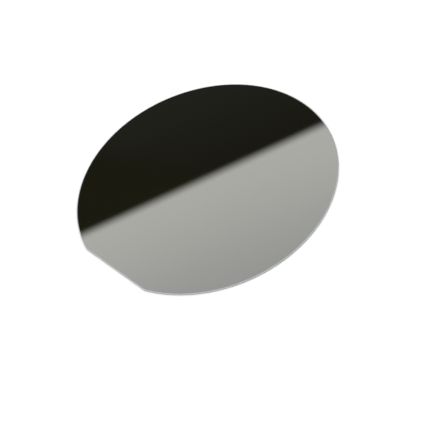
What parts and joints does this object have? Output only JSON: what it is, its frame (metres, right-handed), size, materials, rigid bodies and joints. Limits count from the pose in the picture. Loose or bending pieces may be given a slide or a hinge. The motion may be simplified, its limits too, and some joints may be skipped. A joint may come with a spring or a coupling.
{
  "type": "silicon wafer",
  "caption": "Thin round slice of silicon crystal with a mirror-polished face, a bevelled ground edge and a straight primary flat.",
  "frame": {"origin": "centre of the wafer's round, on its back face", "axes": "+Z out of the polished front face, -Y out of the primary flat, +X along the flat"},
  "size_m": [0.1, 0.0973, 0.0005],
  "materials": {
    "silicon": "front face mirror-polished, ground edge satin grey, back face etched to a soft satin grey"
  },
  "bodies": {
    "root": {"wafer": "silicon"}
  },
  "joints": []
}
